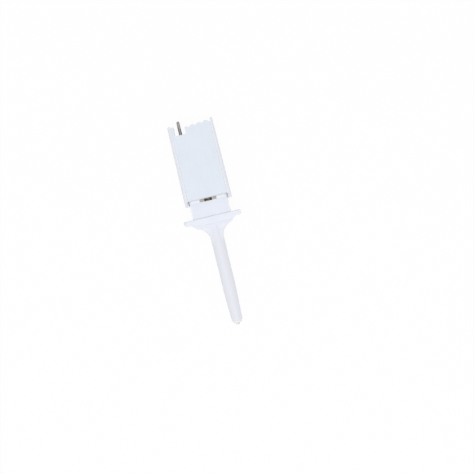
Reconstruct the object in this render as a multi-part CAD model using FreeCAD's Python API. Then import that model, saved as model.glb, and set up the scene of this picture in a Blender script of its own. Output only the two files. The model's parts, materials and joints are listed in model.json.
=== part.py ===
"""Spring-loaded test hook clip for fine-pitch leads, lying on its back.

A flat two-shell thumb cap slides on a forked guide neck. Pressing it towards the finger
wings pushes a pair of sprung wire claws out of the end of a thin round stem, and a coil
spring brings the cap back. A round contact pin stands in a slot in the cap's top edge.

The stem points along -Y and the cap's top edge along +Y, and the front face looks up.
All shapes are drawn with the mid-plane at z = 0 and the top face of the wings at y = 0,
then moved together, so that the box's middle stands on the floor plane at the origin.
Lengths are millimetres.
"""
import FreeCAD, Part
import math
import os

from FreeCAD import Vector

# Thumb cap
cap_width = 9.82
cap_top_width = 9.46
cap_depth = 5.2
cap_body_length = 15.7
shell_wall = 0.7
cover_seam = 0.015
leg_wall = 0.5
leg_drop = 0.9
cap_corner_radius = 0.45
cap_edge_radius = 0.2
cover_edge_radius = 0.07
cover_peg_radius = 0.4
cover_peg_length = 0.8
cover_peg_spacing = 5.6

# Grip ridges and end posts along the cap's top edge
ridge_count = 6
ridge_height = 0.53
ridge_row_slope = 0.085
ridge_row_shift = 0.31
slot_ridge_lift = 0.77
slot_ridge_height = 0.42
post_rise = 0.57

# Moulding marks in the cap's back
gate_radius = 0.7
gate_depth = 0.15
gate_stub_radius = 0.28
gate_stub_drop = 0.06
back_mark_radius = 0.9
back_mark_depth = 0.05
back_mark_spacing = 10.0

# Slot for the lead's socket, and the contact pin in it
slot_width = 2.3
slot_depth = 1.02
slot_corner_radius = 0.35
pin_offset = 2.37
pin_radius = 0.32
pin_reach = 2.94
pin_root_half = 0.4
pin_tip_taper = 0.14
pin_tip_length = 0.24
pin_head_radius = 0.55
pin_head_height = 0.2
top_wall = 2.18

# Stroke
press_travel = 2.8
stroke_stop_gap = 0.1

# Guide neck with its open fork
neck_width = 8.05
neck_clearance = 0.1
neck_chamfer = 0.3
window_show = 0.62
window_width = 1.56
fork_clearance = 0.2
lug_length = 1.2
lug_inset = 1.6
lug_clearance = 0.1
lug_lead_in = 0.15
groove_depth = 0.35
groove_end_gap = 0.03

# Return spring
spring_outer_radius = 1.7
spring_wire = 0.35
spring_turns = 11
spring_closed_turns = 2
closed_coil_gap = 0.03
spring_channel_clearance = 0.1
spring_end_gap = 0.02

# Contact strip and ferrule
strip_thickness = 0.4
strip_half_width = 1.2
strip_pin_margin = 0.75
strip_far_end = 1.3
strip_corner_radius = 0.35
ferrule_flange_radius = 1.6
ferrule_flange = 0.4
ferrule_tube_radius = 0.66
ferrule_tube_length = 3.4
ferrule_spigot_radius = 0.45
ferrule_spigot_depth = 0.6
wire_socket_depth = 2.6
seat_clearance = 0.01

# Hook wires and claws
wire_radius = 0.16
wire_offset_x = 0.2
wire_offset_z = 0.22
bore_clearance = 0.07
claw_flex_length = 3.0
claw_bend_radius = 0.25
claw_leg = 0.2
claw_mouth_gap = 0.03
flex_clearance = 0.02
knuckle_half_height = 0.12

# Finger wings and the web under them
wing_half_span = 6.0
wing_depth = 4.2
wing_tip_thickness = 0.95
wing_root_thickness = 1.45
wing_root_half_width = 2.0
wing_corner_radius = 0.3
wing_edge_radius = 0.2
web_thickness = 2.2
web_reach = 5.2
web_knee_inset = 1.5
web_knee_y = 1.95
web_end_y = 4.9
web_overlap = 0.5
web_edge_radius = 0.35
web_lead_out = 1.6
web_lead_inset = 0.6
cove_inset = 0.3
cove_length = 1.45

# Stem and tip bush
stem_length = 22.2
stem_radius = 1.35
stem_tip_radius = 1.11
stem_taper_start = 15.5
stem_root_flare = 0.7
stem_end_radius = 0.15
bush_collar_radius = 0.875
bush_collar_length = 0.45
bush_edge_radius = 0.14
bush_sleeve_radius = 0.76
bush_sleeve_length = 2.3
bush_mouth_radius = 0.68
bush_mouth_depth = 1.3
bore_funnel = 0.3

# Levels along Y, counted from the top face of the wings
leg_end = press_travel + stroke_stop_gap
cover_end = leg_end + leg_drop
ridge_foot = leg_end + cap_body_length
ridge_top = ridge_foot + ridge_height
post_top = ridge_top + post_rise
slot_floor = ridge_foot - slot_depth
cavity_top = slot_floor - top_wall
pin_top = slot_floor + pin_reach
strip_bottom = cavity_top - strip_thickness
flange_bottom = strip_bottom - ferrule_flange
fork_top = strip_bottom - pin_head_height - press_travel - fork_clearance
channel_floor = cover_end - window_show
lug_top = fork_top - lug_inset
lug_bottom = lug_top - lug_length
web_bottom = -(web_end_y + web_lead_out)
bush_end = -(stem_length + bush_collar_length)
claw_pivot_y = bush_end + claw_flex_length
claw_leg_y = bush_end - claw_mouth_gap - wire_radius
claw_end = claw_leg_y - wire_radius

# Half sizes and radii that follow from the fits
cap_half = cap_width / 2
cap_top_half = cap_top_width / 2
depth_half = cap_depth / 2
wing_depth_half = wing_depth / 2
neck_half = neck_width / 2
inner_half = neck_half + neck_clearance
cavity_half = depth_half - shell_wall
neck_depth_half = cavity_half - neck_clearance
lug_half = inner_half + groove_depth - lug_clearance
ridge_pitch = 2 * inner_half / ridge_count
channel_radius = spring_outer_radius + spring_channel_clearance
web_lead_half = stem_radius - web_lead_inset
bore_radius = math.hypot(wire_offset_x, wire_offset_z) + wire_radius + bore_clearance

# The box's middle stands on the floor plane at the origin
placing = Vector(0, -(pin_top + claw_end) / 2, depth_half)
spare = 1.0

ALONG_Y = Vector(0, 1, 0)
ALONG_Z = Vector(0, 0, 1)


def block(x0, x1, y0, y1, z0, z1):
    """A box between two corners."""
    return Part.makeBox(x1 - x0, y1 - y0, z1 - z0, Vector(x0, y0, z0))


def rod(radius, y0, y1, x=0.0, z=0.0):
    """A round rod along Y."""
    return Part.makeCylinder(radius, y1 - y0, Vector(x, y0, z), ALONG_Y)


def cone(radius0, radius1, y0, y1, x=0.0, z=0.0):
    """A cone along Y, from radius0 at y0 to radius1 at y1."""
    return Part.makeCone(radius0, radius1, y1 - y0, Vector(x, y0, z), ALONG_Y)


def closed_face(edges):
    """A flat face from edges that already follow each other."""
    return Part.Face(Part.Wire(edges))


def polygon_edges(points):
    """Straight edges through the points, left open at the end."""
    return [Part.LineSegment(a, b).toShape() for a, b in zip(points, points[1:])]


def prism(points, z0, z1):
    """A closed outline of (x, y) points, carried from z0 to z1."""
    corners = [Vector(x, y, z0) for x, y in points]
    face = closed_face(polygon_edges(corners + corners[:1]))
    return face.extrude(Vector(0, 0, z1 - z0))


def turned(edges):
    """A profile in the x-y plane, turned about the Y axis."""
    return closed_face(edges).revolve(Vector(0, 0, 0), ALONG_Y, 360)


def joined(first, others):
    """One solid from overlapping solids, with the seams taken out."""
    return first.fuse(others).removeSplitter()


def edges_along(shape, direction, test):
    """Straight edges parallel to direction whose middle passes the test."""
    found = []
    for edge in shape.Edges:
        if not isinstance(edge.Curve, Part.Line):
            continue
        if abs(abs(edge.Curve.Direction.dot(direction)) - 1) > 1e-6:
            continue
        if test(edge.CenterOfMass):
            found.append(edge)
    return found


def rounded(shape, radius, direction, test):
    """The shape with the chosen straight edges rounded."""
    return shape.makeFillet(radius, edges_along(shape, direction, test))


def ridge_line(x, z):
    """Where the foot of the ridges stands at x: the row rises a little away from the slot."""
    return Vector(x, ridge_foot + ridge_row_slope * x, z)


def above_ridges():
    """What is cleared above the round grip ridges, between the end posts, through the depth.

    The ridge that walls the slot stands nearly as tall as the posts, and the row stands a
    little nearer to the slot, so that a short flat is left beside the other post.
    """
    z = -depth_half - spare
    top = post_top + spare
    edges = []
    for i in range(ridge_count):
        left = -inner_half + i * ridge_pitch - (ridge_row_shift if i > 0 else 0.0)
        right = -inner_half + (i + 1) * ridge_pitch - ridge_row_shift
        lift, height = (slot_ridge_lift, slot_ridge_height) if i == 0 else (0.0, ridge_height)
        start = ridge_line(left, z) + Vector(0, lift, 0)
        end = ridge_line(right, z) + Vector(0, lift, 0)
        crest = (start + end) / 2 + Vector(0, height, 0)
        edges.append(Part.Arc(start, crest, end).toShape())
        if lift:
            edges += polygon_edges([end, end - Vector(0, lift, 0)])
    first = edges[0].Vertexes[0].Point
    last = ridge_line(inner_half, z)
    rim = [end, last, Vector(inner_half, top, z), Vector(-inner_half, top, z), first]
    face = closed_face(edges + polygon_edges(rim))
    return face.extrude(Vector(0, 0, cap_depth + 2 * spare))


def socket_slot():
    """The slot round the contact pin, through the cap's depth."""
    x0 = -pin_offset - slot_width / 2
    x1 = -pin_offset + slot_width / 2
    slot = block(x0, x1, slot_floor, post_top + spare, -depth_half - spare, depth_half + spare)
    return rounded(slot, slot_corner_radius, ALONG_Z, lambda c: c.y < slot_floor + 1e-6)


def peg_places():
    """Where the cover's two pegs enter the tray's top wall."""
    y = (cavity_top + slot_floor) / 2
    return [(-cover_peg_spacing / 2, y), (cover_peg_spacing / 2, y)]


def cover_pegs(radius, length):
    """Both pegs, or the holes for them, from the cover's inner face."""
    return [Part.makeCylinder(radius, length, Vector(x, y, cavity_half), Vector(0, 0, -1))
            for x, y in peg_places()]


def lug_grooves():
    """The grooves inside both rails in which the neck's lugs travel."""
    low = lug_bottom - groove_end_gap
    high = lug_top + press_travel + stroke_stop_gap
    deep = inner_half + groove_depth
    return [block(min(side * deep, 0), max(side * deep, 0), low, high, -cavity_half, cavity_half)
            for side in (-1, 1)]


def back_recess(y, radius, from_depth, to_depth):
    """A round space between two depths under the tray's back face."""
    start = Vector(0, y, -depth_half + from_depth)
    return Part.makeCylinder(radius, to_depth - from_depth, start, ALONG_Z)


def back_marks():
    """The moulding marks in the tray's back: a gate dimple with its stub, and two pin marks."""
    middle = (leg_end + ridge_foot) / 2
    dimple = back_recess(middle, gate_radius, 0, gate_depth)
    stub = back_recess(middle, gate_stub_radius, gate_stub_drop, gate_depth)
    marks = [back_recess(middle + side * back_mark_spacing / 2, back_mark_radius, 0, back_mark_depth)
             for side in (-1, 1)]
    return [dimple.cut(stub)] + marks


def cap_tray():
    """The rear shell: back plate, both side rails with their legs and posts, and the top wall."""
    outer = prism([(-cap_half, leg_end), (cap_half, leg_end), (cap_top_half, post_top),
                   (-cap_top_half, post_top)], -depth_half, depth_half)
    corners = [e for e in outer.Edges
               if abs(e.CenterOfMass.x) > inner_half and abs(e.CenterOfMass.z) > cavity_half]
    outer = outer.makeFillet(cap_corner_radius, corners)
    rim = [e for e in outer.Edges if abs(e.CenterOfMass.y - leg_end) < 1e-6]
    rim += [e for e in outer.Edges if abs(e.CenterOfMass.y - post_top) < 1e-6]
    outer = outer.makeFillet(cap_edge_radius, rim)
    cavity = block(-inner_half, inner_half, leg_end - spare, cavity_top, -cavity_half, cavity_half)
    leg_relief = block(-cap_half + leg_wall, cap_half - leg_wall, leg_end - spare, cover_end,
                       cavity_half, depth_half + spare)
    pocket = block(-inner_half, inner_half, cover_end - spare, post_top + spare, cavity_half,
                   depth_half + spare)
    pin_hole = pin_root(cavity_top - spare, slot_floor + spare, seat_clearance)
    spigot_bore = rod(ferrule_spigot_radius + seat_clearance, cavity_top - spare,
                      cavity_top + ferrule_spigot_depth + seat_clearance)
    cuts = [cavity, leg_relief, pocket, above_ridges(), socket_slot(), pin_hole, spigot_bore]
    cuts += lug_grooves() + back_marks()
    cuts += cover_pegs(cover_peg_radius + seat_clearance, cover_peg_length + seat_clearance)
    return outer.cut(cuts)


def cap_cover():
    """The front shell: a plate between the rails with the front of the ridges and two pegs."""
    half = inner_half - cover_seam
    plate = block(-half, half, cover_end, ridge_top + spare, cavity_half, depth_half)
    plate = plate.cut([above_ridges(), socket_slot()])
    front = [e for e in plate.Edges if abs(e.BoundBox.ZMin - depth_half) < 1e-6]
    plate = plate.makeFillet(cover_edge_radius, front)
    return joined(plate, cover_pegs(cover_peg_radius, cover_peg_length))


def pin_root(y0, y1, clearance=0.0):
    """The pin's square root, or the hole for it, between two levels."""
    half = pin_root_half + clearance
    return block(-pin_offset - half, -pin_offset + half, y0, y1, -half, half)


def contact_pin():
    """The round pin for the lead's socket, with a square root riveted under the contact strip."""
    head = rod(pin_head_radius, strip_bottom - pin_head_height, strip_bottom, -pin_offset)
    shank = rod(pin_radius, slot_floor, pin_top - pin_tip_length, -pin_offset)
    tip = cone(pin_radius, pin_radius - pin_tip_taper, pin_top - pin_tip_length, pin_top,
               -pin_offset)
    return joined(pin_root(strip_bottom, slot_floor), [head, shank, tip])


def contact_strip():
    """The brass strip that carries the current from the pin to the ferrule."""
    strip = block(-pin_offset - strip_pin_margin, strip_far_end, strip_bottom, cavity_top,
                  -strip_half_width, strip_half_width)
    strip = rounded(strip, strip_corner_radius, ALONG_Y, lambda c: True)
    pin_hole = pin_root(strip_bottom - spare, cavity_top + spare, seat_clearance)
    spigot_hole = rod(ferrule_spigot_radius + seat_clearance, strip_bottom - spare,
                      cavity_top + spare)
    return strip.cut([pin_hole, spigot_hole])


def wire_place(side):
    """Where the left or the right hook wire runs, as x and z."""
    sign = -1 if side == "left" else 1
    return sign * wire_offset_x, -sign * wire_offset_z


def wire_ferrule():
    """The turned ferrule: the spring's seat, a spigot above and the crimped tube below."""
    end = flange_bottom - ferrule_tube_length
    flange = rod(ferrule_flange_radius, flange_bottom, strip_bottom)
    tube = rod(ferrule_tube_radius, end, flange_bottom)
    spigot = rod(ferrule_spigot_radius, strip_bottom, cavity_top + ferrule_spigot_depth)
    sockets = [rod(wire_radius + seat_clearance, end - spare, end + wire_socket_depth,
                   *wire_place(side))
               for side in ("left", "right")]
    return joined(flange, [tube, spigot]).cut(sockets)


def knuckle(x, z, radius, half_height):
    """A short round pin across the wire, where the wire's flexing is drawn as a hinge."""
    return Part.makeCylinder(radius, 2 * half_height, Vector(x, claw_pivot_y, z - half_height),
                             ALONG_Z)


def hook_wire(side):
    """The straight run of one wire, from its socket to the place where it flexes."""
    x, z = wire_place(side)
    top = flange_bottom - ferrule_tube_length + wire_socket_depth - seat_clearance
    wire = rod(wire_radius, claw_pivot_y, top, x, z)
    return wire.cut(knuckle(x, z, wire_radius + flex_clearance, wire_radius + flex_clearance))


def claw(side):
    """The sprung end of one wire, from its flexing place to the hook across the mouth."""
    x, z = wire_place(side)
    inward = 1 if side == "left" else -1
    bend_y = claw_leg_y + claw_bend_radius
    bend_x = x + inward * claw_bend_radius
    root = knuckle(x, z, wire_radius, knuckle_half_height)
    run = rod(wire_radius, bend_y, claw_pivot_y, x, z)
    ring = Part.makeTorus(claw_bend_radius, wire_radius, Vector(bend_x, bend_y, z), ALONG_Z)
    reach = claw_bend_radius + wire_radius + spare
    quarter = block(min(bend_x, bend_x - inward * reach), max(bend_x, bend_x - inward * reach),
                    bend_y - reach, bend_y, z - reach, z + reach)
    bend = ring.common(quarter)
    leg = Part.makeCylinder(wire_radius, claw_leg, Vector(bend_x, claw_leg_y, z),
                            Vector(inward, 0, 0))
    nose = Part.makeSphere(wire_radius, Vector(bend_x + inward * claw_leg, claw_leg_y, z))
    return joined(run, [root, bend, leg, nose])


def spring_height(turn):
    """The coil's height above its lower seat after so many turns: close, open, then close."""
    close_pitch = spring_wire + closed_coil_gap
    length = flange_bottom - channel_floor - 2 * spring_end_gap
    open_turns = spring_turns - 2 * spring_closed_turns
    open_pitch = (length - 2 * spring_closed_turns * close_pitch) / open_turns
    blend = 0.5
    pitch_gain = open_pitch - close_pitch
    rise = close_pitch * turn
    for start, sign in ((spring_closed_turns, 1), (spring_turns - spring_closed_turns, -1)):
        over = turn - start
        ramp = min(max(over + blend, 0), 2 * blend)
        rise += sign * pitch_gain * (ramp * ramp / (4 * blend) + max(over - blend, 0))
    return rise


def return_spring():
    """The compression spring, closed and ground flat at both ends."""
    middle = spring_outer_radius - spring_wire / 2
    steps_per_turn = 12
    bottom = channel_floor + spring_end_gap
    points = []
    for i in range(spring_turns * steps_per_turn + 1):
        turn = i / steps_per_turn
        angle = 2 * math.pi * turn
        points.append(Vector(middle * math.cos(angle), bottom + spring_height(turn),
                             middle * math.sin(angle)))
    curve = Part.BSplineCurve()
    curve.interpolate(points)
    path = Part.Wire(curve.toShape())
    start = Part.Circle(points[0], curve.tangent(curve.FirstParameter)[0], spring_wire / 2)
    coil = path.makePipeShell([Part.Wire(start.toShape())], True, True)
    reach = spring_outer_radius + spare
    ground = block(-reach, reach, bottom, flange_bottom - spring_end_gap, -reach, reach)
    return coil.common(ground)


def guide_neck():
    """The neck that the cap slides on, with its stop lugs.

    The spring's round channel is open at the top, and long windows slit its front and back.
    """
    neck = block(-neck_half, neck_half, -wing_tip_thickness / 2, fork_top, -neck_depth_half,
                 neck_depth_half)
    neck = neck.makeChamfer(neck_chamfer, edges_along(neck, ALONG_Y, lambda c: True))
    lug_depth_half = neck_depth_half - neck_chamfer
    root = neck_half - neck_chamfer
    lugs = [
        prism([(side * root, lug_bottom), (side * lug_half, lug_bottom),
               (side * lug_half, lug_top - lug_lead_in), (side * (lug_half - lug_lead_in), lug_top),
               (side * root, lug_top)], -lug_depth_half, lug_depth_half)
        for side in (-1, 1)
    ]
    channel = rod(channel_radius, channel_floor, fork_top + spare)
    window = block(-window_width / 2, window_width / 2, channel_floor, fork_top + spare,
                   -neck_depth_half - spare, neck_depth_half + spare)
    return joined(neck, lugs).cut([channel, window])


def finger_wings():
    """The wing plate that two fingers hold, thinner towards its tips."""
    outline = [
        (-wing_half_span, 0), (-wing_half_span, -wing_tip_thickness),
        (-wing_root_half_width, -wing_root_thickness), (wing_root_half_width, -wing_root_thickness),
        (wing_half_span, -wing_tip_thickness), (wing_half_span, 0),
    ]
    plate = prism(outline, -wing_depth_half, wing_depth_half)
    plate = rounded(plate, wing_corner_radius, ALONG_Z, lambda c: abs(c.x) > wing_half_span - 1e-6)
    rims = [e for e in plate.Edges
            if abs(abs(e.CenterOfMass.z) - wing_depth_half) < 1e-6 and e.Length > 1e-6]
    return plate.makeFillet(wing_edge_radius, rims)


def web_side(side):
    """One side of the web's outline: out of the stem, a hollow curve to the knee, then straight."""
    lead = Vector(side * web_lead_half, web_bottom, 0)
    foot = Vector(side * stem_radius, -web_end_y, 0)
    knee = Vector(side * (web_reach - web_knee_inset), -web_knee_y, 0)
    tip = Vector(side * web_reach, -web_overlap, 0)
    dx = abs(knee.x - foot.x)
    dy = knee.y - foot.y
    radius = (dx * dx + dy * dy) / (2 * dx)
    half_turn = math.atan2(dy, radius - dx) / 2
    outward = radius * (1 - math.cos(half_turn))
    middle = foot + Vector(side * outward, radius * math.sin(half_turn), 0)
    return [Part.LineSegment(lead, foot).toShape(), Part.Arc(foot, middle, knee).toShape(),
            Part.LineSegment(knee, tip).toShape()]


def web_depth():
    """The web's profile from the side: hollow coves lead from the wings' underside to its faces."""
    face = web_thickness / 2
    rim = wing_depth_half - cove_inset
    start = wing_root_thickness
    end = start + cove_length
    drop = rim - face
    radius = (cove_length * cove_length + drop * drop) / (2 * drop)
    half_turn = math.atan2(cove_length, radius - drop) / 2
    inward = radius * (1 - math.cos(half_turn))
    middle = -end + radius * math.sin(half_turn)
    edges = []
    for side in (-1, 1):
        top = Vector(0, -web_overlap, side * rim)
        brink = Vector(0, -start, side * rim)
        foot = Vector(0, -end, side * face)
        low = Vector(0, web_bottom, side * face)
        hollow = Vector(0, middle, side * (face + inward))
        edges += polygon_edges([top, brink]) + [Part.Arc(brink, hollow, foot).toShape()]
        edges += polygon_edges([foot, low])
    for y, z in ((-web_overlap, rim), (web_bottom, face)):
        edges += polygon_edges([Vector(0, y, -z), Vector(0, y, z)])
    profile = closed_face(Part.__sortEdges__(edges))
    profile.translate(Vector(-web_reach - spare, 0, 0))
    return profile.extrude(Vector(2 * (web_reach + spare), 0, 0))


def wing_web():
    """The web that carries each wing from the stem."""
    top = [Vector(-web_reach, -web_overlap, 0), Vector(web_reach, -web_overlap, 0)]
    foot = [Vector(-web_lead_half, web_bottom, 0), Vector(web_lead_half, web_bottom, 0)]
    edges = web_side(-1) + web_side(1) + polygon_edges(top) + polygon_edges(foot)
    face = closed_face(Part.__sortEdges__(edges))
    face.translate(Vector(0, 0, -wing_depth_half))
    web = face.extrude(Vector(0, 0, wing_depth)).common(web_depth())
    rim = [e for e in web.Edges
           if abs(abs(e.CenterOfMass.z) - web_thickness / 2) < 1e-6
           and abs(e.CenterOfMass.x) > web_lead_half]
    return web.makeFillet(web_edge_radius, rim)


def stem():
    """The round stem: flared under the wings, straight, then tapered to its end."""
    flare_y = -wing_root_thickness - stem_root_flare
    slant = 1 - math.sqrt(0.5)
    flare_start = Vector(stem_radius + stem_root_flare, -wing_root_thickness, 0)
    flare_mid = Vector(stem_radius + slant * stem_root_flare,
                       -wing_root_thickness - slant * stem_root_flare, 0)
    flare_end = Vector(stem_radius, flare_y, 0)
    top = -wing_tip_thickness / 2
    taper = Vector(stem_radius, -stem_taper_start, 0)
    end_outer = Vector(stem_tip_radius, -stem_length + stem_end_radius, 0)
    end_inner = Vector(stem_tip_radius - stem_end_radius, -stem_length, 0)
    edges = polygon_edges([Vector(0, top, 0), Vector(flare_start.x, top, 0), flare_start])
    edges.append(Part.Arc(flare_start, flare_mid, flare_end).toShape())
    edges += polygon_edges([flare_end, taper, end_outer, end_inner,
                            Vector(0, -stem_length, 0), Vector(0, top, 0)])
    return turned(edges)


def clip_body():
    """The main moulding: neck, wings, web and stem, with the wires' bore through it."""
    body = joined(guide_neck(), [finger_wings(), wing_web(), stem()])
    bore = rod(bore_radius, -stem_length - spare, channel_floor + spare)
    funnel = cone(bore_radius, bore_radius + bore_funnel + spare, channel_floor - bore_funnel,
                  channel_floor + spare)
    seat = rod(bush_sleeve_radius + seat_clearance, -stem_length - spare,
               -stem_length + bush_sleeve_length + seat_clearance)
    return body.cut([bore, funnel, seat])


def tip_bush():
    """The bush at the stem's end, with the flared mouth that lets the claws open."""
    outer = bush_collar_radius
    edge = bush_edge_radius
    slant = edge * (1 - math.sqrt(0.5))
    sleeve_top = -stem_length + bush_sleeve_length
    mouth = [Vector(bore_radius, sleeve_top, 0), Vector(bore_radius, bush_end + bush_mouth_depth, 0),
             Vector(bush_mouth_radius, bush_end, 0), Vector(outer - edge, bush_end, 0)]
    rounding = Part.Arc(mouth[-1], Vector(outer - slant, bush_end + slant, 0),
                        Vector(outer, bush_end + edge, 0)).toShape()
    outside = [Vector(outer, bush_end + edge, 0), Vector(outer, -stem_length, 0),
               Vector(bush_sleeve_radius, -stem_length, 0), Vector(bush_sleeve_radius, sleeve_top, 0),
               mouth[0]]
    return turned(polygon_edges(mouth) + [rounding] + polygon_edges(outside))


def export(name, shape):
    """Moves a finished shape to its place and writes its file."""
    moved = shape.copy()
    moved.translate(placing)
    if not moved.isValid():
        print("not valid:", name)
    print(name, "solids", len(moved.Solids), "volume", round(moved.Volume, 3))
    moved.exportStep("parts/" + name + ".step")


def main():
    os.makedirs("parts", exist_ok=True)
    export("clip_body", clip_body())
    export("tip_bush", tip_bush())
    export("cap_tray", cap_tray())
    export("cap_cover", cap_cover())
    export("contact_pin", contact_pin())
    export("contact_strip", contact_strip())
    export("wire_ferrule", wire_ferrule())
    export("hook_wire_left", hook_wire("left"))
    export("hook_wire_right", hook_wire("right"))
    export("claw_left", claw("left"))
    export("claw_right", claw("right"))
    export("return_spring", return_spring())


main()
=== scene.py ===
"""Test hook clip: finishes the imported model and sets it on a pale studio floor.

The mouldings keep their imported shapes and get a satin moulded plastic. The return spring, the
two hook wires and the contact pin are made here as surfaces worked out on grids.
Lengths are metres. The clip lies on its back: +Y runs to the cap's top edge, +Z out of the
cap's front, and the contact pin is on the -X side.
"""
import json
import math

import bpy
import numpy as np
from bpy.props import FloatProperty, FloatVectorProperty, IntProperty, PointerProperty
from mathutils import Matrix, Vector


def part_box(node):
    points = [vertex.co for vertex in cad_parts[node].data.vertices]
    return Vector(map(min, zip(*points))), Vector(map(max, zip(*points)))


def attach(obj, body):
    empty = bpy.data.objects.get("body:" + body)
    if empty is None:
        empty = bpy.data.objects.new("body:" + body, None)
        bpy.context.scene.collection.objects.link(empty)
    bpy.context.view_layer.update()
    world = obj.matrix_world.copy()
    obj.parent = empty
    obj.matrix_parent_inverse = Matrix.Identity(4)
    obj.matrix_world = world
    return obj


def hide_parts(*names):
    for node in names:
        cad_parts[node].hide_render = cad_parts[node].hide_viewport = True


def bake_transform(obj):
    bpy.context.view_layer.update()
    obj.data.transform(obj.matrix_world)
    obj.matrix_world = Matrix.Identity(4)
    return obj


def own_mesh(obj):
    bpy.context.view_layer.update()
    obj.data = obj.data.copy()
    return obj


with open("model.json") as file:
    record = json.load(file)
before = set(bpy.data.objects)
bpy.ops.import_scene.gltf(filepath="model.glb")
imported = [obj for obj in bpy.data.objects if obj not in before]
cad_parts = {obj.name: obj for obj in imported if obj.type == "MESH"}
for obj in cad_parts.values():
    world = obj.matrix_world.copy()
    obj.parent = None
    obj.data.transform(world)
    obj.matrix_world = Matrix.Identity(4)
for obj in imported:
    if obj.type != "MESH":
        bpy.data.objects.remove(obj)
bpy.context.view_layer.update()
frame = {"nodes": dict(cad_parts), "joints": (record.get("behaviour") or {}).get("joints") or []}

bl_info = {
    "name": "Test hook clip",
    "version": (1, 0, 0),
    "blender": (4, 5, 0),
    "location": "3D View > Sidebar > Hook Clip",
    "description": "Finishes a test hook clip and sets it on a studio floor",
    "category": "Object",
}

MM = 0.001

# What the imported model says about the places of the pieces
SPRING_LOW, SPRING_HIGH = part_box("return_spring")
PIN_LOW, PIN_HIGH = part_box("contact_pin")
CAP_LOW, CAP_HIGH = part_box("cap_tray")
PRESS_TRAVEL = next(j["range_m"][1] for j in frame["joints"] if j["name"] == "cap_press")
MIDDLE_Z = (CAP_LOW.z + CAP_HIGH.z) / 2

# Places in millimetres, for the materials
STOP_GAP = 0.1
NECK_TO_COVER = 0.085
WING_TOP = (CAP_LOW.y - PRESS_TRAVEL) / MM - STOP_GAP
COVER_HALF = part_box("cap_cover")[1].x / MM
COVER_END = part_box("cap_cover")[0].y / MM
NECK_HALF = COVER_HALF - NECK_TO_COVER
CHANNEL_FLOOR = SPRING_LOW.y / MM
SPRING_HALF = SPRING_HIGH.x / MM
CAP_TOP = CAP_HIGH.y / MM

# How finely the new surfaces are divided
SPRING_STEPS_PER_TURN = 72
WIRE_SIDES = 20
PIN_SIDES = 48
WIRE_STEPS = 220
BEND_STEPS = 16
SHARP_ANGLE = math.radians(40)


def length(name, description, default):
    """A length property in metres."""
    return FloatProperty(name=name, description=description, default=default, min=0.0,
                         unit="LENGTH", precision=6)


def colour(name, description, default):
    """A linear colour property."""
    return FloatVectorProperty(name=name, description=description, default=default, size=3,
                               min=0.0, max=1.0, subtype="COLOR")


class HookClipPlastic(bpy.types.PropertyGroup):
    body_colour: colour("Body", "Plastic of the neck and the wings", (0.81, 0.84, 0.93))
    stem_colour: colour("Stem", "Plastic of the stem, a little less blue", (0.80, 0.81, 0.875))
    tray_colour: colour("Tray", "Plastic of the cap's rear shell and rails", (0.79, 0.805, 0.875))
    cover_colour: colour("Cover", "Plastic of the cap's front shell", (0.76, 0.815, 0.895))
    # Painted shade: the spring's steel, seen darkened through the neck's thin walls.
    painted_spring_shade_colour: colour("Steel behind", "Steel that shows through the neck's thin walls",
                          (0.49, 0.455, 0.39))
    # Painted light: the web and the wings are drawn lighter, more so towards the wing tips.
    painted_light_web_colour: colour("Thin parts", "Web and wings, which let light through",
                        (0.93, 0.935, 0.955))
    # Painted light: the neck's long edges and the band beside its channel are drawn lighter.
    painted_light_neck_colour: colour("Neck edges", "The neck's long edges, lit from behind",
                        (0.92, 0.935, 0.965))
    # Painted light: the cover's thin edges along both seams are drawn lighter.
    painted_light_seam_colour: colour("Seam edges", "Thin edges along the cover's seams", (0.87, 0.89, 0.945))
    # Painted shade: the cover's lower edge is drawn darker.
    painted_shade_lower_colour: colour("Lower edge", "The cover's lower edge", (0.64, 0.68, 0.755))
    bush_colour: colour("Bush", "Plastic of the tip bush", (0.87, 0.875, 0.895))
    speck_colour: colour("Specks", "Small dark specks", (0.42, 0.40, 0.36))
    grain: length("Grain", "Width of the mould's spark-eroded grain", 0.00006)
    grain_height: length("Grain height", "Height of that grain", 0.000004)


class HookClipSpring(bpy.types.PropertyGroup):
    wire_radius: length("Wire radius", "Half the spring wire's thickness", 0.000175)
    close_pitch: length("Closed pitch", "Rise of one closed end coil", 0.00038)
    turns: IntProperty(name="Turns", description="All the turns", default=11, min=5)
    closed_turns: IntProperty(name="Closed turns", description="Closed turns at each end",
                              default=2, min=1)
    steel_colour: colour("Steel", "Oiled spring steel", (0.25, 0.225, 0.15))
    rust_colour: colour("Rust", "Brown spots on the steel", (0.20, 0.11, 0.05))


class HookClipWires(bpy.types.PropertyGroup):
    wire_radius: length("Wire radius", "Half the hook wire's thickness", 0.00016)
    bend_radius: length("Bend radius", "Middle radius of the bend at the hook", 0.00025)
    hook_reach: length("Hook reach", "Straight length of the hook past its bend", 0.0002)
    flex_length: length("Flex length", "Where the wire flexes, above the tip's end", 0.003)
    flex_half: length("Flex half", "Half the length over which it flexes", 0.0004)
    wire_colour: colour("Wire", "Plated spring wire", (0.79, 0.775, 0.76))
    worn_colour: colour("Worn wire", "Where the plate has worn", (0.45, 0.36, 0.22))


class HookClipContacts(bpy.types.PropertyGroup):
    pin_radius: length("Pin radius", "Half the round contact pin's thickness", 0.00032)
    pin_reach: length("Pin reach", "Length of the round pin above the slot's floor", 0.00294)
    root_half: length("Root half", "Half the width of the square root", 0.0004)
    head_height: length("Head height", "Height of the riveted head", 0.0002)
    tip_taper: length("Tip taper", "How much the pin narrows at its tip", 0.00014)
    tip_length: length("Tip length", "Length of the tip's taper", 0.00024)
    tin_colour: colour("Tin", "Dull tin plate", (0.33, 0.315, 0.305))
    edge: length("Edge", "Break of the pin's edges", 0.00003)
    brass_colour: colour("Brass", "Stamped brass, also where the plate has worn", (0.60, 0.40, 0.13))
    stain_colour: colour("Stain", "Brown spots on the brass", (0.32, 0.17, 0.06))


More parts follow.
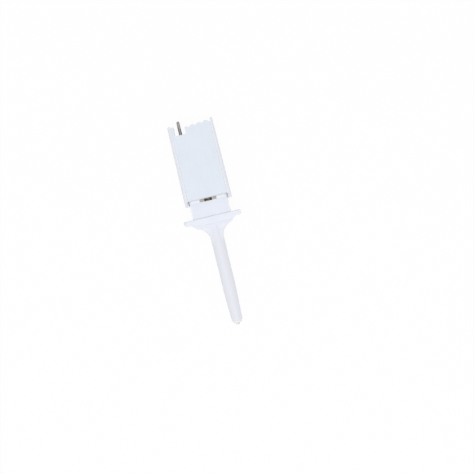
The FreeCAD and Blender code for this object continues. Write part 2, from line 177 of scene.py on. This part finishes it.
class HookClipStage(bpy.types.PropertyGroup):
    pixel: length("Pixel", "Width of one picture element at the clip's middle", 0.000206)
    picture_size: IntProperty(name="Picture size", description="Picture elements along a side",
                              default=474, min=1)
    clip_column: FloatProperty(name="Column", description="Picture column of the clip's middle",
                               default=213.52)
    clip_row: FloatProperty(name="Row", description="Picture row of the clip's middle",
                            default=221.66)
    clip_lean: FloatProperty(name="Lean", description="How far the clip leans to the left",
                             default=math.radians(13.58), subtype="ANGLE", unit="ROTATION")
    lens: FloatProperty(name="Lens", description="Focal length in millimetres", default=180.0,
                        min=10.0)
    floor_colour: colour("Floor", "Pale floor", (0.94, 0.94, 0.94))
    floor_half: length("Floor half", "Half the floor's width", 3.0)
    floor_white: FloatProperty(name="Floor white", description="Share of pure white in the floor",
                               default=0.94, min=0.0, max=1.0, subtype="FACTOR")
    room_light: FloatProperty(name="Room light", description="Even light from all round",
                              default=0.77, min=0.0)
    key_light: FloatProperty(name="Key light", description="Power of the soft box in watts",
                             default=1.1, min=0.0)
    key_width: length("Key width", "Width of the soft box", 0.5)
    key_place: FloatVectorProperty(name="Key place", description="Where the soft box hangs",
                                   default=(-0.05, -0.2, 0.6), size=3, subtype="TRANSLATION")


class Value:
    """A socket that Python arithmetic can be written with: each operator adds its Math node."""

    def __init__(self, graph, socket):
        self.graph = graph
        self.socket = socket

    def other(self, name):
        """Another output of the same node."""
        return Value(self.graph, self.socket.node.outputs[name])

    def maths(self, operation, first, second=0.0):
        return self.graph.node("Math", {"operation": operation}, {0: first, 1: second})

    def __add__(self, other):
        return self.maths("ADD", self, other)

    def __radd__(self, other):
        return self.maths("ADD", other, self)

    def __sub__(self, other):
        return self.maths("SUBTRACT", self, other)

    def __rsub__(self, other):
        return self.maths("SUBTRACT", other, self)

    def __mul__(self, other):
        return self.maths("MULTIPLY", self, other)

    def __rmul__(self, other):
        return self.maths("MULTIPLY", other, self)

    def __abs__(self):
        return self.maths("ABSOLUTE", self)

    def smooth(self, low, high):
        """0 below low, 1 above high and a smooth step between; falling if low is the larger."""
        rising = self.graph.node("MapRange", {"interpolation_type": "SMOOTHSTEP"},
                                 {"Value": self, "From Min": min(low, high),
                                  "From Max": max(low, high)})
        return rising if low < high else 1 - rising


class Graph:
    """The node tree of a material or world, written from its coordinates to its shader."""

    def __init__(self, owner):
        owner.use_nodes = True
        self.owner = owner
        self.tree = owner.node_tree
        self.tree.nodes.clear()

    def node(self, kind, settings=None, inputs=None, out=0):
        """Adds a node: its settings come first, then the values or links of its sockets."""
        made = self.tree.nodes.new("ShaderNode" + kind)
        for key, value in (settings or {}).items():
            setattr(made, key, value)
        for key, value in (inputs or {}).items():
            if isinstance(value, Value):
                self.tree.links.new(value.socket, made.inputs[key])
            else:
                made.inputs[key].default_value = value
        return Value(self, made.outputs[out])

    def millimetres(self):
        """Object coordinates in millimetres."""
        place = self.node("TexCoord", out="Object")
        return self.node("VectorMath", {"operation": "SCALE"}, {0: place, "Scale": 1 / MM})

    def split(self, vector):
        """The vector's three parts."""
        x = self.node("SeparateXYZ", {}, {0: vector})
        return x, x.other("Y"), x.other("Z")

    def stretched(self, vector, scale):
        """The vector with each part scaled on its own."""
        return self.node("VectorMath", {"operation": "MULTIPLY"}, {0: vector, 1: scale})

    def noise(self, vector, scale, detail=2.0, roughness=0.5):
        """A soft noise around 0.5, with that many features in a unit of the vector."""
        return self.node("TexNoise", {}, {"Vector": vector, "Scale": scale, "Detail": detail,
                                          "Roughness": roughness}, out="Fac")

    def painted_crease_shade(self, reach):
        """1 where other surfaces close in within that reach, 0 in the open: the mask of painted
        shade in creases.
        """
        opened = self.node("AmbientOcclusion", {"samples": 8}, {"Distance": reach}, out="AO")
        return 1 - opened

    def mix(self, factor, first, second, blend="MIX"):
        """Two colours, mixed by a factor."""
        return self.node("Mix", {"data_type": "RGBA", "blend_type": blend},
                         {0: factor, 6: first, 7: second}, out=2)

    def bump(self, height, depth):
        """A normal from a height between 0 and 1 that stands for a depth in metres."""
        return self.node("Bump", {}, {"Height": height, "Distance": depth}, out="Normal")

    def finish(self, inputs):
        """Ends the tree in one Principled shader and gives back the material."""
        return self.output("OutputMaterial", self.node("BsdfPrincipled", {}, inputs, out="BSDF"))

    def output(self, kind, shader):
        """Links a shader to the tree's output and gives back what the tree belongs to."""
        made = self.tree.nodes.new("ShaderNode" + kind)
        self.tree.links.new(shader.socket, made.inputs["Surface"])
        return self.owner


def rgba(values, share=1.0):
    """A colour with its opacity, made lighter or darker by a share."""
    return tuple(min(v * share, 1.0) for v in values) + (1.0,)


def moulded_plastic(name, tint, settings, patches=(), polished=None):
    """Satin white moulding: eroded grain, faint flow clouds, handling shine and painted shade in
    creases.

    Each patch is a share over the surface and the colour that it goes towards; some are painted
    light and some painted shade.
    """
    g = Graph(bpy.data.materials.new(name))
    place = g.millimetres()
    parts = g.split(place)
    cloud = g.noise(place, 0.22, 3.0)
    flow = g.noise(g.stretched(place, (2.2, 0.25, 2.2)), 1.0, 2.0)
    grain = g.noise(place, MM / settings.grain, 2.0, 0.6)
    speck = g.node("TexVoronoi", {}, {"Vector": place, "Scale": 0.8}, out="Distance")
    scuff = g.noise(g.stretched(place, (9.0, 0.8, 9.0)), 1.0, 4.0, 0.7).smooth(0.62, 0.74)
    base = g.mix(cloud.smooth(0.3, 0.7), rgba(tint, 0.985), rgba(tint, 1.012))
    base = g.mix(flow.smooth(0.4, 0.75) * 0.3, base, rgba(tint, 0.965))
    for share, other_tint in patches:
        base = g.mix(share(*parts), base, rgba(other_tint))
    base = g.mix(speck.smooth(0.05, 0.03) * 0.25, base, rgba(settings.speck_colour))
    # Painted shade: darker where other surfaces close in, in creases and corners.
    base = g.mix(g.painted_crease_shade(0.4 * MM) * 0.05, base, rgba(tint, 0.75))
    shine = polished(*parts) if polished else 0.0
    roughness = 0.44 + (grain - 0.5) * 0.10 + (cloud - 0.5) * 0.08 - scuff * 0.06
    roughness = roughness - shine * 0.12 if polished else roughness
    height = grain * 0.8 + cloud * 1.5 - scuff * 0.5
    return g.finish({
        "Base Color": base,
        "Roughness": roughness,
        "Normal": g.bump(height, settings.grain_height),
        "IOR": 1.49,
        "Subsurface Weight": 0.12,
        "Subsurface Radius": (1.0, 0.95, 0.9),
        "Subsurface Scale": 0.35 * MM,
    })


def painted_light_web(x, y, z):
    """Painted light where the body's web and wings are thin, more so away from the stem."""
    below = y.smooth(WING_TOP + 0.02, WING_TOP - 0.3)
    above = y.smooth(WING_TOP - 6.2, WING_TOP - 3.6)
    aside = abs(x).smooth(0.9, 1.9)
    return below * above * (0.04 + 0.14 * aside)


def stem_part(x, y, z):
    """Where the body narrows into the stem."""
    return y.smooth(WING_TOP - 1.0, WING_TOP - 6.0)


def painted_light_neck_edges(x, y, z):
    """Painted light on the long edges of the neck, above the wings."""
    above = y.smooth(WING_TOP + 0.05, WING_TOP + 0.25)
    return above * abs(x).smooth(NECK_HALF - 0.4, NECK_HALF - 0.2)


def painted_light_channel_band(x, y, z):
    """Painted light across the neck beside its channel, where it is hollow."""
    return y.smooth(CHANNEL_FLOOR - 0.06, CHANNEL_FLOOR + 0.2)


def painted_spring_shade_walls(x, y, z):
    """Painted shade where the neck's walls are thin over the spring, standing for the steel seen
    through them.
    """
    inside = abs(x).smooth(SPRING_HALF + 0.14, SPRING_HALF)
    return inside * y.smooth(CHANNEL_FLOOR - 0.04, CHANNEL_FLOOR + 0.06)


def painted_light_seam_edges(x, y, z):
    """Painted light along both of the cover's seams, at its thin edges."""
    inside = abs(x).smooth(COVER_HALF - 0.21, COVER_HALF - 0.03)
    return inside * abs(x).smooth(COVER_HALF + 0.25, COVER_HALF + 0.07)


def painted_shade_lower_edge(x, y, z):
    """Painted shade along the cover's lower edge."""
    return y.smooth(COVER_END + 0.26, COVER_END + 0.12)


def thumbed_parts(x, y, z):
    """Where thumbs polish the cap: its upper face near the ridges, and the ridges."""
    return y.smooth(CAP_TOP - 7.0, CAP_TOP - 1.0) * z.smooth(3.0, 5.0)


def plated_metal(name, tint, worn, wear, streak, use_uv=False):
    """Plated or plain metal with fine drawing lines, dull clouds and some worn places."""
    g = Graph(bpy.data.materials.new(name))
    if use_uv:
        along = g.node("TexCoord", out="UV")
        place = g.node("VectorMath", {"operation": "SCALE"}, {0: along, "Scale": 1 / MM})
    else:
        place = g.millimetres()
    lines = g.noise(g.stretched(place, streak), 1.0, 3.0, 0.7)
    cloud = g.noise(place, 1.3, 3.0, 0.6)
    pits = g.noise(place, 9.0, 2.0, 0.6)
    base = g.mix(lines.smooth(0.3, 0.7), rgba(tint, 0.86), rgba(tint, 1.14))
    base = g.mix(cloud.smooth(0.45, 0.75) * 0.35, base, rgba(tint, 0.7))
    spots = (cloud * 0.6 + pits * 0.4).smooth(0.54, 0.62)
    base = g.mix(spots * wear, base, rgba(worn))
    roughness = 0.30 + (cloud - 0.5) * 0.25 + (lines - 0.5) * 0.15
    return g.finish({
        "Base Color": base,
        "Metallic": 1.0,
        "Roughness": roughness,
        "Normal": g.bump(lines * 0.7 + pits * 0.3, 3e-6),
    })


def ring_surface(points):
    """Corners, faces and UVs of a surface of rings, closed round and closed by a fan at each end.

    points has one ring in each row. The UVs are the lengths along and round, in metres.
    """
    rows, columns = points.shape[:2]
    row, column = np.meshgrid(np.arange(rows - 1), np.arange(columns), indexing="ij")
    corner_row = np.stack([row, row, row + 1, row + 1], -1).reshape(-1, 4)
    corner_column = np.stack([column, column + 1, column + 1, column], -1).reshape(-1, 4)
    quads = corner_row * columns + corner_column % columns
    middles = points.mean(1)
    steps = np.linalg.norm(np.diff(middles, axis=0), axis=1)
    along = np.concatenate([[0.0], np.cumsum(steps)])
    around = np.linalg.norm(points[:, 0] - middles, axis=1).max() * 2 * math.pi / columns
    quad_uv = np.stack([along[corner_row], corner_column * around], -1)
    ring = np.arange(columns)
    onward = (ring + 1) % columns
    first_pole = rows * columns
    start = np.stack([np.full(columns, first_pole), onward, ring], -1)
    last = (rows - 1) * columns
    end = np.stack([np.full(columns, first_pole + 1), last + ring, last + onward], -1)
    fans = np.concatenate([start, end])
    fan_uv = np.zeros(fans.shape + (2,))
    fan_uv[columns:, :, 0] = along[-1]
    corners = np.concatenate([points.reshape(-1, 3), middles[:1], middles[-1:]])
    return corners, [quads, fans], np.concatenate([quad_uv.reshape(-1, 2), fan_uv.reshape(-1, 2)])


def enclosed(corners, face_groups):
    """The volume that the faces enclose: above 0 where they point outwards."""
    total = 0.0
    for faces in face_groups:
        for i in range(1, faces.shape[1] - 1):
            a, b, c = corners[faces[:, 0]], corners[faces[:, i]], corners[faces[:, i + 1]]
            total += np.einsum("ij,ij->i", a, np.cross(b, c)).sum() / 6
    return total


def piece(name, points, material):
    """A smooth closed mesh from rings of points, at the origin, in its finish."""
    corners, groups, uv = ring_surface(points)
    if enclosed(corners, groups) < 0:
        points = points[:, ::-1]
        corners, groups, uv = ring_surface(points)
    mesh = bpy.data.meshes.new(name)
    mesh.from_pydata(corners.tolist(), [], groups[0].tolist() + groups[1].tolist())
    mesh.polygons.foreach_set("use_smooth", np.ones(len(mesh.polygons), bool))
    layer = mesh.uv_layers.new(name="along")
    layer.data.foreach_set("uv", uv.astype(np.float32).ravel())
    mesh.set_sharp_from_angle(angle=SHARP_ANGLE)
    mesh.materials.append(material)
    mesh.validate()
    made = bpy.data.objects.new(name, mesh)
    bpy.context.scene.collection.objects.link(made)
    return made


def tube(path, tangent, side, radius, around):
    """Rings about a path: the point plus radius times the side turned about the tangent."""
    tangent = tangent / np.linalg.norm(tangent, axis=1)[:, None]
    other = np.cross(tangent, side)
    turn = np.linspace(0, 2 * math.pi, around, endpoint=False)
    spokes = (side[:, None] * np.cos(turn)[None, :, None]
              + other[:, None] * np.sin(turn)[None, :, None])
    return path[:, None] + np.reshape(radius, (-1, 1, 1)) * spokes


def squared_rings(x, y, z, half, square):
    """Rings across Y about the line through x and z, one for each height y.

    At an angle, the radius is the half width over the root of |cos| and |sin| to the power
    square, added up: 2 gives a circle and a large power a square.
    """
    turn = np.linspace(0, 2 * math.pi, PIN_SIDES, endpoint=False)[None, :]
    power = square[:, None]
    spread = (abs(np.cos(turn)) ** power + abs(np.sin(turn)) ** power) ** (-1 / power)
    radius = half[:, None] * spread
    return np.stack([x + radius * np.cos(turn), np.broadcast_to(y[:, None], radius.shape),
                     z + radius * np.sin(turn)], -1)


def repaint(node, material):
    """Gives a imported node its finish."""
    for slot in frame["nodes"][node].material_slots:
        slot.material = material


class HOOKCLIP_OT_mouldings(bpy.types.Operator):
    """Finishes the body, both cap shells and the tip bush in satin moulded plastic"""
    bl_idname = "hook_clip.mouldings"
    bl_label = "Finish the mouldings"

    def execute(self, context):
        plastic = context.scene.hook_clip_plastic
        # Besides the stem's tone, these patches are painted light and painted shade.
        body = moulded_plastic("body_plastic", plastic.body_colour, plastic, patches=[
            (stem_part, plastic.stem_colour), (painted_light_web, plastic.painted_light_web_colour),
            (painted_light_neck_edges, plastic.painted_light_neck_colour), (painted_light_channel_band, plastic.painted_light_neck_colour),
            (painted_spring_shade_walls, plastic.painted_spring_shade_colour)])
        painted_seam_light = [(painted_light_seam_edges, plastic.painted_light_seam_colour)]
        tray = moulded_plastic("cap_tray_plastic", plastic.tray_colour, plastic, patches=painted_seam_light,
                               polished=thumbed_parts)
        cover = moulded_plastic("cap_cover_plastic", plastic.cover_colour, plastic,
                                patches=painted_seam_light + [(painted_shade_lower_edge, plastic.painted_shade_lower_colour)],
                                polished=thumbed_parts)
        bush = moulded_plastic("tip_bush_plastic", plastic.bush_colour, plastic)
        repaint("clip_body", body)
        repaint("cap_tray", tray)
        repaint("cap_cover", cover)
        repaint("tip_bush", bush)
        return {"FINISHED"}


class HOOKCLIP_OT_return_spring(bpy.types.Operator):
    """Winds the return spring with closed, ground ends"""
    bl_idname = "hook_clip.return_spring"
    bl_label = "Wind the return spring"

    def heights(self, turn, spring, low, high):
        """The rise after so many turns: the sum of a pitch that is close, open, then close."""
        middle = (turn[1:] + turn[:-1]) / 2
        from_end = np.minimum(middle, spring.turns - middle) - spring.closed_turns
        share = np.clip(from_end + 0.5, 0, 1)
        closed = spring.close_pitch * spring.turns
        steps = np.diff(turn)
        open_gain = (high - low - closed) / (share * steps).sum()
        pitch = spring.close_pitch + open_gain * share
        return low + np.concatenate([[0.0], np.cumsum(pitch * steps)])

    def execute(self, context):
        spring = context.scene.hook_clip_spring
        low, high = SPRING_LOW.y, SPRING_HIGH.y
        coil_radius = (SPRING_HIGH.x - SPRING_LOW.x) / 2 - spring.wire_radius
        turn = np.linspace(0, spring.turns, spring.turns * SPRING_STEPS_PER_TURN + 1)
        y = self.heights(turn, spring, low, high)
        angle = 2 * math.pi * turn
        outward = np.stack([np.cos(angle), np.zeros_like(angle), np.sin(angle)], -1)
        centre = np.array([0.0, 0.0, MIDDLE_Z])
        path = centre + coil_radius * outward
        path[:, 1] = y
        rings = tube(path, np.gradient(path, axis=0), outward, spring.wire_radius, WIRE_SIDES)
        rings[:, :, 1] = np.clip(rings[:, :, 1], low, high)
        steel = plated_metal("oiled_spring_steel", spring.steel_colour, spring.rust_colour,
                             wear=0.25, streak=(0.6, 22.0, 1.0), use_uv=True)
        made = piece("coil_spring", rings, steel)
        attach(made, "body")
        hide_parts("return_spring")
        keep = 1 - PRESS_TRAVEL / (high - low)
        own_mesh(made)
        return {"FINISHED"}


class HOOKCLIP_OT_hook_wires(bpy.types.Operator):
    """Draws both hook wires, each in one run from the ferrule to its hook"""
    bl_idname = "hook_clip.hook_wires"
    bl_label = "Draw the hook wires"

    def run(self, side, wires):
        """The wire's middle line: straight down, a quarter round inwards, then the hook."""
        wire_low, wire_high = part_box("hook_wire_" + side)
        claw_low, claw_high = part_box("claw_" + side)
        inward = 1 if side == "left" else -1
        x = (wire_low.x + wire_high.x) / 2
        z = (wire_low.z + wire_high.z) / 2
        bend_y = claw_low.y + wires.wire_radius + wires.bend_radius
        straight = np.linspace(wire_high.y, bend_y, WIRE_STEPS)
        angle = np.linspace(0, math.pi / 2, BEND_STEPS)[1:]
        reach = np.linspace(0, wires.hook_reach, 5)[1:]
        path_x = np.concatenate([
            np.full_like(straight, x),
            x + inward * wires.bend_radius * (1 - np.cos(angle)),
            x + inward * (wires.bend_radius + reach)])
        path_y = np.concatenate([
            straight, bend_y - wires.bend_radius * np.sin(angle),
            np.full_like(reach, bend_y - wires.bend_radius)])
        return np.stack([path_x, path_y, np.full_like(path_x, z)], -1), inward

    def execute(self, context):
        wires = context.scene.hook_clip_wires
        material = plated_metal("plated_hook_wire", wires.wire_colour, wires.worn_colour,
                                wear=0.3, streak=(0.5, 26.0, 1.0), use_uv=True)
        for side in ("left", "right"):
            path, inward = self.run(side, wires)
            round_off = np.linspace(0, math.pi / 2, 9)[1:-1]
            nose = path[-1] + np.stack([inward * wires.wire_radius * np.sin(round_off),
                                        0 * round_off, 0 * round_off], -1)
            whole = np.concatenate([path, nose])
            radius = np.concatenate([np.full(len(path), wires.wire_radius),
                                     wires.wire_radius * np.cos(round_off)])
            facing = np.tile([0.0, 0.0, 1.0], (len(whole), 1))
            rings = tube(whole, np.gradient(whole, axis=0), facing, radius, WIRE_SIDES)
            made = piece("sprung_wire_" + side, rings, material)
            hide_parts("hook_wire_" + side, "claw_" + side)
            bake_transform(made)
        return {"FINISHED"}


class HOOKCLIP_OT_contacts(bpy.types.Operator):
    """Turns the contact pin and finishes the strip and the ferrule in brass"""
    bl_idname = "hook_clip.contacts"
    bl_label = "Make the contacts"

    def profile(self, contacts):
        """Heights, half widths and squareness of the pin's rings, from its head to its tip."""
        floor = PIN_HIGH.y - contacts.pin_reach
        head = PIN_LOW.y + contacts.head_height
        head_half = (PIN_HIGH.x - PIN_LOW.x) / 2
        edge = contacts.edge
        shoulder = PIN_HIGH.y - contacts.tip_length
        pin, root = contacts.pin_radius, contacts.root_half
        tip = pin - contacts.tip_taper
        rows = [
            (PIN_LOW.y, 0.05 * MM, 2), (PIN_LOW.y, head_half - edge, 2),
            (PIN_LOW.y + edge, head_half, 2), (head - edge, head_half, 2),
            (head, head_half - edge, 2), (head, root, 12), (floor - edge, root, 12),
            (floor - edge, pin, 2), (floor, pin, 2), (shoulder - 0.06 * MM, pin, 2),
            (shoulder, pin - 0.008 * MM, 2), (shoulder + 0.05 * MM, pin - 0.03 * MM, 2),
            (PIN_HIGH.y - 0.05 * MM, tip + 0.015 * MM, 2),
            (PIN_HIGH.y - 0.012 * MM, tip - 0.02 * MM, 2),
            (PIN_HIGH.y, tip - 0.07 * MM, 2), (PIN_HIGH.y, 0.02 * MM, 2),
        ]
        return np.array(rows).T

    def execute(self, context):
        contacts = context.scene.hook_clip_contacts
        y, half, square = self.profile(contacts)
        rings = squared_rings((PIN_LOW.x + PIN_HIGH.x) / 2, y, MIDDLE_Z, half, square)
        tin = plated_metal("dull_tin_plate", contacts.tin_colour, contacts.brass_colour,
                           wear=0.35, streak=(12.0, 1.2, 12.0))
        made = piece("plated_pin", rings, tin)
        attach(made, "cap")
        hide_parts("contact_pin")
        brass = plated_metal("stamped_brass", contacts.brass_colour, contacts.stain_colour,
                             wear=0.3, streak=(10.0, 1.0, 10.0))
        repaint("contact_strip", brass)
        repaint("wire_ferrule", brass)
        return {"FINISHED"}


class HOOKCLIP_OT_stage(bpy.types.Operator):
    """Sets the floor, the light and the camera"""
    bl_idname = "hook_clip.stage"
    bl_label = "Set the stage"

    def seen(self, g):
        """1 for the camera's rays and for what metal or glass reflects, 0 for the light."""
        path = g.node("LightPath", out="Is Camera Ray")
        total = path + path.other("Is Glossy Ray") + path.other("Is Transmission Ray")
        return g.node("Math", {"operation": "MINIMUM"}, {0: total, 1: 1.0})

    def floor(self, stage):
        """A wide level square whose colour is near white and which keeps the shadow."""
        g = Graph(bpy.data.materials.new("pale_floor"))
        matte = g.node("BsdfDiffuse", {}, {"Color": rgba(stage.floor_colour)}, out="BSDF")
        white = g.node("Emission", {}, {"Color": (1.0, 1.0, 1.0, 1.0), "Strength": 1.0})
        cover = g.node("MixShader", {}, {0: self.seen(g) * stage.floor_white, 1: matte, 2: white})
        half = stage.floor_half
        corners = [(-half, -half, 0), (half, -half, 0), (half, half, 0), (-half, half, 0)]
        mesh = bpy.data.meshes.new("floor")
        mesh.from_pydata(corners, [], [(0, 1, 2, 3)])
        mesh.materials.append(g.output("OutputMaterial", cover))
        made = bpy.data.objects.new("floor", mesh)
        bpy.context.scene.collection.objects.link(made)

    def room(self, scene, stage):
        """An even white room: full white where it is seen, softer where it lights."""
        g = Graph(bpy.data.worlds.new("white_room"))
        seen = self.seen(g)
        strength = seen + (1 - seen) * stage.room_light
        light = g.node("Background", {}, {"Color": (1.0, 1.0, 1.0, 1.0), "Strength": strength})
        scene.world = g.output("OutputWorld", light)

    def soft_box(self, scene, stage):
        """A large soft lamp, up and to the left of the claws' end."""
        lamp = bpy.data.lights.new("soft_box", "AREA")
        lamp.shape = "SQUARE"
        lamp.size = stage.key_width
        lamp.energy = stage.key_light
        made = bpy.data.objects.new("soft_box", lamp)
        made.location = stage.key_place
        made.rotation_euler = (-made.location).to_track_quat("-Z", "Y").to_euler()
        scene.collection.objects.link(made)

    def camera(self, scene, stage):
        """A long lens straight above, turned so that the clip leans as it is seen."""
        lens = bpy.data.cameras.new("long_lens")
        lens.lens = stage.lens
        lens.clip_start = 0.001
        lens.clip_end = 20.0
        view_width = stage.pixel * stage.picture_size
        distance = view_width * stage.lens / lens.sensor_width
        lean = stage.clip_lean
        right = Vector((math.cos(lean), -math.sin(lean), 0))
        up = Vector((math.sin(lean), math.cos(lean), 0))
        across = (stage.clip_column - stage.picture_size / 2) * stage.pixel
        down = (stage.clip_row - stage.picture_size / 2) * stage.pixel
        made = bpy.data.objects.new("camera", lens)
        made.location = up * down - right * across + Vector((0, 0, MIDDLE_Z + distance))
        made.rotation_euler = (0, 0, -lean)
        scene.collection.objects.link(made)
        scene.camera = made

    def execute(self, context):
        scene = context.scene
        stage = scene.hook_clip_stage
        self.floor(stage)
        self.room(scene, stage)
        self.soft_box(scene, stage)
        self.camera(scene, stage)
        scene.view_settings.view_transform = "Standard"
        return {"FINISHED"}


class HOOKCLIP_PT_panel(bpy.types.Panel):
    """The clip's steps and sizes"""
    bl_idname = "HOOKCLIP_PT_panel"
    bl_label = "Hook Clip"
    bl_space_type = "VIEW_3D"
    bl_region_type = "UI"
    bl_category = "Hook Clip"

    def draw(self, context):
        for operator, group in STEPS:
            box = self.layout.box()
            box.operator(operator.bl_idname)
            settings = getattr(context.scene, group)
            for name in settings.__annotations__:
                box.prop(settings, name)


GROUPS = {
    "hook_clip_plastic": HookClipPlastic,
    "hook_clip_spring": HookClipSpring,
    "hook_clip_wires": HookClipWires,
    "hook_clip_contacts": HookClipContacts,
    "hook_clip_stage": HookClipStage,
}
STEPS = [
    (HOOKCLIP_OT_mouldings, "hook_clip_plastic"),
    (HOOKCLIP_OT_return_spring, "hook_clip_spring"),
    (HOOKCLIP_OT_hook_wires, "hook_clip_wires"),
    (HOOKCLIP_OT_contacts, "hook_clip_contacts"),
    (HOOKCLIP_OT_stage, "hook_clip_stage"),
]
CLASSES = [*GROUPS.values(), *(operator for operator, group in STEPS), HOOKCLIP_PT_panel]


def register():
    for cls in CLASSES:
        bpy.utils.register_class(cls)
    for name, group in GROUPS.items():
        setattr(bpy.types.Scene, name, PointerProperty(type=group))


def unregister():
    for name in GROUPS:
        delattr(bpy.types.Scene, name)
    for cls in reversed(CLASSES):
        bpy.utils.unregister_class(cls)


def main():
    """Registers the classes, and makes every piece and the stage."""
    register()
    bpy.ops.hook_clip.mouldings()
    bpy.ops.hook_clip.return_spring()
    bpy.ops.hook_clip.hook_wires()
    bpy.ops.hook_clip.contacts()
    bpy.ops.hook_clip.stage()


if __name__ == "__main__":
    main()
